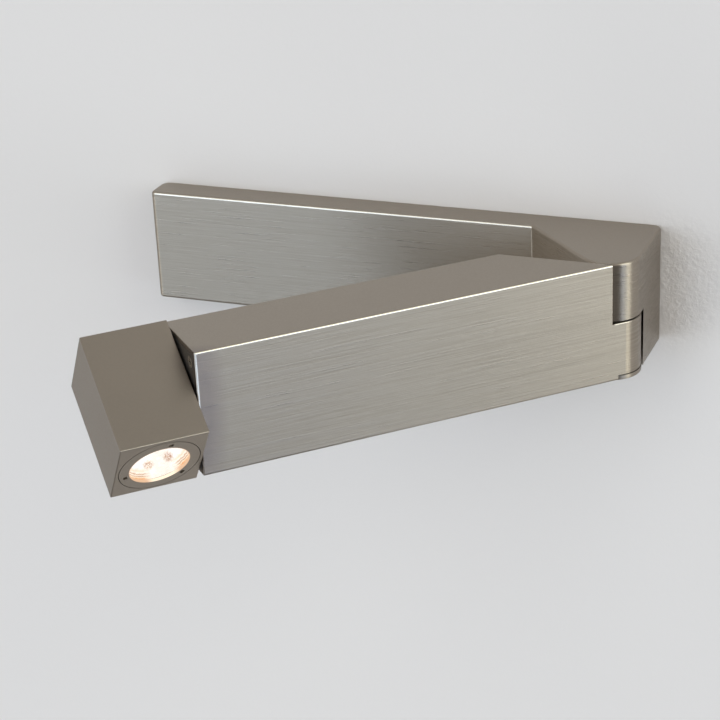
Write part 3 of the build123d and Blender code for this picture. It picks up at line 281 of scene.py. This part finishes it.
base_nickel = brushed_metal("base_nickel", 0.0, BASE_LIGHT, BASE_DARK, 0.08, 0.15, 0.22)
arm_nickel = brushed_metal(
    "arm_nickel", ARM_SWING, ARM_LIGHT, ARM_DARK, 0.06, 0.15, 0.17, ARM_PAINTED_LIGHT
)
head_nickel = fine_metal("head_nickel", HEAD_LIGHT, HEAD_DARK, HEAD_ROUGH, bump=HEAD_BUMP)
# darker than the nickel: partly a slightly darker plate, partly painted shade of the end face in
# the gap by the head
end_metal = fine_metal("end_metal", (0.2, 0.18, 0.16), (0.15, 0.135, 0.12), 0.45)
zinc = fine_metal("zinc", (0.62, 0.63, 0.63), (0.46, 0.47, 0.48), 0.36, 260.0)
screw_metal = fine_metal("screw_metal", (0.66, 0.63, 0.57), (0.5, 0.47, 0.42), 0.26)
turned = fine_metal("turned_metal", (0.56, 0.55, 0.53), (0.42, 0.41, 0.4), 0.25)
spring = fine_metal("spring_metal", (0.35, 0.35, 0.36), (0.25, 0.25, 0.26), 0.3)
brass = fine_metal("tag_brass", (0.76, 0.6, 0.3), (0.62, 0.47, 0.22), 0.28)
nylon = moulded("nylon", (0.82, 0.8, 0.74), (0.74, 0.72, 0.66), 0.45)
white_plastic = moulded("white_plastic", (0.84, 0.84, 0.82), (0.78, 0.78, 0.76), 0.42)
dark_plastic = moulded("dark_plastic", (0.05, 0.05, 0.055), (0.035, 0.035, 0.04), 0.4)
board = moulded("board", (0.06, 0.22, 0.11), (0.04, 0.16, 0.08), 0.35)
ceramic = moulded("ceramic", (0.86, 0.83, 0.76), (0.78, 0.75, 0.68), 0.55, 1500.0, 0.15)
sheath = moulded("sheath", (0.78, 0.78, 0.75), (0.7, 0.7, 0.68), 0.5)
brown = moulded("brown_cover", (0.17, 0.075, 0.03), (0.13, 0.055, 0.02), 0.35)
blue = moulded("blue_cover", (0.03, 0.1, 0.42), (0.02, 0.07, 0.33), 0.35)
green = moulded("green_cover", (0.22, 0.46, 0.05), (0.16, 0.36, 0.04), 0.35)


# ---------------------------------------------------------------- lamp
# Lens frame, from the middle of the lens face: x towards the arm, z into the head.
lens_centre = swivel + arm_dir * (HEAD_GAP + HEAD_L / 2) + lens_out * HALF_H
lens_axes = Matrix((-arm_dir, lens_out.cross(arm_dir), -lens_out)).transposed()

RING_OPEN_R = 0.015  # opening of the retaining ring
CLEAR_SIDE = (46, 100, 10)  # where the rim is plain: bearings round the lens, and soft edge
# painted glow of the lamp's light on the edge of the ring's opening, clear or amber round the
# lens
LIP_CLEAR = (1.0, 0.86, 0.66)
LIP_AMBER = (0.6, 0.33, 0.17)
LIP_GLOW = 0.85

# The mirror's glow is painted light: white, with painted amber reflection rings at its rim and
# painted reflections of the capsule's legs.
RIM_DEPTH = 0.0029  # rim of the mirror, behind the lens face
RING_REACH = 0.005  # depth over which the painted amber reflection rings fade into white
RING_WOBBLE = 0.0003
RING_FIRST = (0.86, 0.42, 0.18)
RING_TONES = (
    (0.1, (1.0, 0.84, 0.6)),
    (0.2, (0.45, 0.2, 0.08)),
    (0.3, (1.0, 0.9, 0.75)),
    (0.42, (0.5, 0.26, 0.12)),
    (0.54, (1.0, 0.92, 0.8)),
    (0.7, (0.92, 0.7, 0.5)),
)
RING_LAST = (1.0, 0.99, 0.97)
RIM_PLAIN = (1.0, 0.96, 0.87)
LEG_SPOTS = (  # middle and reach of the reflections of the capsule's legs
    ((-0.00115, 0.0149, 0.0092), (0.0034, 0.0034, 0.003)),
    ((0.0092, 0.0115, 0.0095), (0.0032, 0.0032, 0.0034)),
)
LEG_REFLECTION_COLOUR = (0.46, 0.2, 0.08)
FACET_SCALE = 420.0
FACET_EDGE = (0.93, 0.9, 0.89)
MIRROR_BASE = (0.2, 0.19, 0.18)
MIRROR_GLOW = 1.05

CAPSULE_LIGHT = (0.9, 0.85, 0.75)
CAPSULE_DARK = tuple(0.85 * c for c in CAPSULE_LIGHT)
CAPSULE_SHINE = (1.0, 0.97, 0.92)
CAPSULE_GLOW = 1.6


def in_lens(tree):
    """Coordinates in the lens frame, whole and in parts."""
    spin = lens_axes.to_euler()
    place = add_node(tree, "ShaderNodeMapping", Location=lens_centre, Rotation=spin)
    place.vector_type = "TEXTURE"
    tree.links.new(object_coords(tree), place.inputs["Vector"])
    vector = place.outputs["Vector"]
    return vector, split(tree, vector)


def lit_capsule(name):
    mat, tree, shader = new_material(name)
    colour = mix_colour(tree, even_noise(tree, 260), CAPSULE_LIGHT, CAPSULE_DARK)
    tree.links.new(colour, shader.inputs["Base Color"])
    shader.inputs["Roughness"].default_value = 0.3
    feed(tree, shader.inputs["Emission Color"], CAPSULE_SHINE)
    shader.inputs["Emission Strength"].default_value = CAPSULE_GLOW
    return mat


def lamp_mirror(name):
    """Faceted mirror with a painted glow of the lamp's light: white, with painted amber
    reflection rings at its rim and painted reflections of the capsule's amber legs.
    """
    mat, tree, shader = new_material(name)
    link = tree.links.new
    vector, parts = in_lens(tree)
    ripple = noise(tree, vector, 420.0)
    wobble = spread(tree, ripple, 0.3, 0.7, -RING_WOBBLE, RING_WOBBLE)
    depth = maths(tree, "ADD", parts["Z"], wobble)
    rings = tree.nodes.new("ShaderNodeValToRGB")
    link(spread(tree, depth, RIM_DEPTH, RIM_DEPTH + RING_REACH), rings.inputs["Fac"])
    stops = rings.color_ramp.elements
    stops[0].position, stops[0].color = 0.0, (*RING_FIRST, 1)
    stops[1].position, stops[1].color = 1.0, (*RING_LAST, 1)
    for place, colour in RING_TONES:
        stops.new(place).color = (*colour, 1)
    clear_side = bearing_range(tree, bearing_about_z(tree, parts), CLEAR_SIDE)
    glow = mix_colour(tree, clear_side, rings.outputs["Color"], RIM_PLAIN)
    legs = maths(tree, "MAXIMUM", *(near_spot(tree, vector, *spot) for spot in LEG_SPOTS))
    mottle = spread(tree, noise(tree, vector, 1100.0), 0.38, 0.6, 0.25, 1.0)
    glow = mix_colour(tree, maths(tree, "MULTIPLY", legs, mottle), glow, LEG_REFLECTION_COLOUR)

    cells = add_node(tree, "ShaderNodeTexVoronoi", Scale=FACET_SCALE)
    link(vector, cells.inputs["Vector"])
    off_middle = cells.outputs["Distance"]
    facets = mix_colour(tree, spread(tree, off_middle, 0.1, 0.7), (1, 1, 1), FACET_EDGE)
    feed(tree, shader.inputs["Base Color"], MIRROR_BASE)
    shader.inputs["Metallic"].default_value = 1.0
    shader.inputs["Roughness"].default_value = 0.25
    add_bump(tree, shader, off_middle, 0.3, 0.0004)
    link(mix_colour(tree, 1.0, glow, facets, "MULTIPLY"), shader.inputs["Emission Color"])
    shader.inputs["Emission Strength"].default_value = MIRROR_GLOW
    return mat


def clear_glass(name):
    """Clear disc with a faint haze."""
    mat, tree, shader = new_material(name)
    link = tree.links.new
    haze = even_noise(tree, 600)
    tint = mix_colour(tree, haze, (0.97, 0.95, 0.92), (0.92, 0.88, 0.82))
    link(tint, shader.inputs["Base Color"])
    link(spread(tree, haze, 0.3, 0.7, 0.04, 0.1), shader.inputs["Alpha"])
    shader.inputs["Roughness"].default_value = 0.05
    return mat


def lit_ring(name):
    """The head's metal, with a painted glow of the lamp's light on the edge of its opening."""
    mat = fine_metal(name, HEAD_LIGHT, HEAD_DARK, HEAD_ROUGH, bump=HEAD_BUMP)
    tree = mat.node_tree
    shader = tree.nodes["Principled BSDF"]
    parts = in_lens(tree)[1]
    squares = (maths(tree, "POWER", parts[axis], 2) for axis in "XY")
    radius = maths(tree, "SQRT", maths(tree, "ADD", *squares))
    edge = spread(tree, radius, RING_OPEN_R + 0.0001, RING_OPEN_R + 0.0003, 1.0, 0.0)
    clear_side = bearing_range(tree, bearing_about_z(tree, parts), CLEAR_SIDE)
    glow = mix_colour(tree, clear_side, LIP_AMBER, LIP_CLEAR)
    tree.links.new(mix_colour(tree, edge, (0, 0, 0), glow), shader.inputs["Emission Color"])
    shader.inputs["Emission Strength"].default_value = LIP_GLOW
    return mat


mirror = lamp_mirror("lamp_mirror")
ring_nickel = lit_ring("ring_nickel")
glass = clear_glass("front_glass")
capsule = lit_capsule("lit_capsule")

FINISHES = (
    (base_nickel, "base_housing"),
    (arm_nickel, "arm_shell hinge_cap"),
    (head_nickel, "head_housing"),
    (ring_nickel, "retaining_ring"),
    (end_metal, "arm_end_plate"),
    (zinc, "wall_bracket holder_bracket"),
    (screw_metal, "bracket_screws driver_screws terminal_screws earth_screw"),
    (screw_metal, "end_plate_screws holder_screws lamp_pins"),
    (turned, "hinge_pin hinge_stop_pin hinge_lock_nut"),
    (turned, "swivel_tube swivel_stop_pin swivel_nut"),
    (spring, "hinge_spring_washer swivel_spring_washer"),
    (brass, "earth_tag"),
    (nylon, "hinge_bush hinge_friction_washer"),
    (nylon, "swivel_bush swivel_friction_washer lead_clips"),
    (white_plastic, "driver_case driver_cover terminal_block"),
    (dark_plastic, "driver_components"),
    (board, "driver_board"),
    (ceramic, "lamp_base lamp_holder"),
    (sheath, "base_lead arm_lead head_lead"),
    (brown, "live_lead"),
    (blue, "neutral_lead"),
    (green, "earth_lead"),
    (glass, "front_glass"),
    (mirror, "lamp_reflector"),
    (capsule, "lamp_capsule"),
)
finish_of = {name: finish for finish, names in FINISHES for name in names.split()}
for name, obj in nodes.items():
    for slot in obj.material_slots:
        slot.material = finish_of[name]


# ---------------------------------------------------------------- wall
WALL_OUT = 3.0
WALL_HOLE_X = 0.1405
WALL_HOLE_Z = 0.031
WALL_Y = -0.00003
PAINT_DARK = (0.765, 0.713, 0.678)
PAINT_LIGHT = (0.785, 0.733, 0.697)
FAR_LEFT = (-0.3, -0.6)  # where the wall's painted shade starts, and where it is darkest
FAR_LEFT_SHADE = (0.55, 0.512, 0.488)
ROUGH_SPOT = (0.155, 0, 0.0)  # coarser paint bumps, and painted shade in darker speckles, beside the base's right end
ROUGH_REACH = (0.038, 0.1, 0.045)
ROUGH_SPECK_SHADE = (0.73, 0.68, 0.647)
PAINT_BUMP = (0.12, 1.0)  # strength on the plain wall and at the coarser spot


def wall_paint(name):
    """Rolled paint that shows from the front only, so that the back can be looked at."""
    mat, tree, shader = new_material(name)
    link = tree.links.new
    coords = object_coords(tree)
    roller = even_noise(tree, 160, detail=4, rough=0.6)
    grit = even_noise(tree, 420, detail=3, rough=0.6)
    paint = mix_colour(tree, even_noise(tree, 1.5), PAINT_DARK, PAINT_LIGHT)
    # painted shade, darker towards the wall's far left
    far_left = spread(tree, split(tree, coords)["X"], *FAR_LEFT)
    paint = mix_colour(tree, far_left, paint, FAR_LEFT_SHADE)
    beside = near_spot(tree, coords, ROUGH_SPOT, ROUGH_REACH)
    # darker speckles painted as the raking light's shade on the rolled texture
    speck_shade = maths(tree, "MULTIPLY", beside, spread(tree, grit, 0.35, 0.65))
    link(mix_colour(tree, speck_shade, paint, ROUGH_SPECK_SHADE), shader.inputs["Base Color"])
    shader.inputs["Roughness"].default_value = 0.8
    coarse = spread(tree, beside, 0, 1, *PAINT_BUMP)
    add_bump(tree, shader, maths(tree, "ADD", roller, grit), coarse, 0.0006)

    geometry = tree.nodes.new("ShaderNodeNewGeometry")
    clear = tree.nodes.new("ShaderNodeBsdfTransparent")
    either = tree.nodes.new("ShaderNodeMixShader")
    link(geometry.outputs["Backfacing"], either.inputs["Fac"])
    link(shader.outputs["BSDF"], either.inputs[1])
    link(clear.outputs["BSDF"], either.inputs[2])
    link(either.outputs["Shader"], tree.nodes["Material Output"].inputs["Surface"])
    return mat


def build_wall():
    """A wide wall, open only behind the base."""
    mesh = bmesh.new()
    xs = (-WALL_OUT, -WALL_HOLE_X, WALL_HOLE_X, WALL_OUT)
    zs = (-WALL_OUT, -WALL_HOLE_Z, WALL_HOLE_Z, WALL_OUT)
    grid = [[mesh.verts.new((x, WALL_Y, z)) for z in zs] for x in xs]
    for i in range(3):
        for k in range(3):
            if (i, k) != (1, 1):
                corners = (grid[i][k], grid[i + 1][k], grid[i + 1][k + 1], grid[i][k + 1])
                mesh.faces.new(corners)
    data = bpy.data.meshes.new("wall")
    mesh.to_mesh(data)
    mesh.free()
    wall = bpy.data.objects.new("wall", data)
    bpy.context.collection.objects.link(wall)
    data.materials.append(wall_paint("wall_paint"))


build_wall()


# ---------------------------------------------------------------- light
# Patches of daylight round the room: azimuth in degrees from +X, negative on the room's side
# of the wall, and height as the direction's z, each low, high and soft edge, then the colour.
PATCHES = (
    ((-12, 0, 3), (-0.62, -0.18, 0.08), (1.4, 1.39, 1.2)),
    ((-36, -24, 3), (-0.62, -0.18, 0.08), (0.1, 0.18, 0.42)),
    ((-12, 0, 3), (-0.18, 0.3, 0.08), (4.7, 5.0, 4.9)),
    ((-36, -12, 3), (-0.18, 0.3, 0.08), (2.95, 3.4, 4.0)),
    ((-36, 0, 3), (0.3, 0.75, 0.08), (2.8, 3.0, 2.6)),
    ((-75, -36, 3), (0.3, 0.75, 0.08), (0.68, 0.62, 0.62)),
    ((-98, -75, 3), (-0.62, 0.3, 0.08), (0.46, 0.48, 0.44)),
    ((-125, -98, 3), (-0.18, 0.3, 0.08), (2.5, 3.05, 3.75)),
    ((-125, -98, 3), (0.3, 0.75, 0.08), (1.7, 1.8, 1.8)),
    ((-150, -125, 3), (-0.62, 0.3, 0.08), (1.5, 1.65, 1.75)),
    ((-178, -150, 3), (-0.62, 0.3, 0.08), (0.7, 0.7, 0.7)),
    ((-178, -125, 3), (0.3, 0.75, 0.08), (0.25, 0.2, 0.15)),
    ((-130, -98, 8), (-0.97, -0.62, 0.05), (0.7, 0.7, 0.7)),
    ((-98, 0, 8), (-0.97, -0.62, 0.05), (0.3, 0.3, 0.3)),
)
GROUND = (0.05, 0.05, 0.05)
SKY = (0.33, 0.33, 0.33)
HORIZON = 0.6  # height, below and above level, over which the ground turns into sky


def build_world():
    world = bpy.data.worlds.new("daylight")
    bpy.context.scene.world = world
    world.use_nodes = True
    tree = world.node_tree
    link = tree.links.new
    parts = split(tree, tree.nodes.new("ShaderNodeTexCoord").outputs["Generated"])
    azimuth = bearing_about_z(tree, parts)
    total = mix_colour(tree, spread(tree, parts["Z"], -HORIZON, HORIZON), GROUND, SKY)
    for across, upward, colour in PATCHES:
        sideways = bearing_range(tree, azimuth, across)
        patch = maths(tree, "MULTIPLY", sideways, soft_range(tree, parts["Z"], *upward))
        tinted = tree.nodes.new("ShaderNodeVectorMath")
        tinted.operation = "SCALE"
        tinted.inputs[0].default_value = colour
        link(patch, tinted.inputs["Scale"])
        both = tree.nodes.new("ShaderNodeVectorMath")
        both.operation = "ADD"
        link(total, both.inputs[0])
        link(tinted.outputs["Vector"], both.inputs[1])
        total = both.outputs["Vector"]
    link(total, tree.nodes["Background"].inputs["Color"])


build_world()


# ---------------------------------------------------------------- camera
CAMERA_AT = Vector((0.39304, -1.03525, 0.42275))
CAMERA_YAW = math.radians(22.2306)
CAMERA_PITCH = math.radians(-23.6491)
CAMERA_ROLL = math.radians(2.7049)
CAMERA_LENS = 105.2045  # mm
CAMERA_SENSOR = 36.0  # mm
CAMERA_CLIP = (0.05, 20.0)

camera_turn = (
    Matrix.Rotation(CAMERA_YAW, 3, "Z")
    @ Matrix.Rotation(CAMERA_PITCH, 3, "X")
    @ Matrix.Rotation(CAMERA_ROLL, 3, "Y")
)
right, forward, upward = (camera_turn.col[i].copy() for i in range(3))
facing = Matrix((right, upward, -forward)).transposed().to_4x4()
camera_data = bpy.data.cameras.new("camera")
camera_data.sensor_width = CAMERA_SENSOR
camera_data.lens = CAMERA_LENS
camera_data.clip_start, camera_data.clip_end = CAMERA_CLIP
camera = bpy.data.objects.new("camera", camera_data)
bpy.context.collection.objects.link(camera)
camera.matrix_world = Matrix.Translation(CAMERA_AT) @ facing
bpy.context.scene.camera = camera
bpy.context.scene.view_settings.view_transform = "Standard"
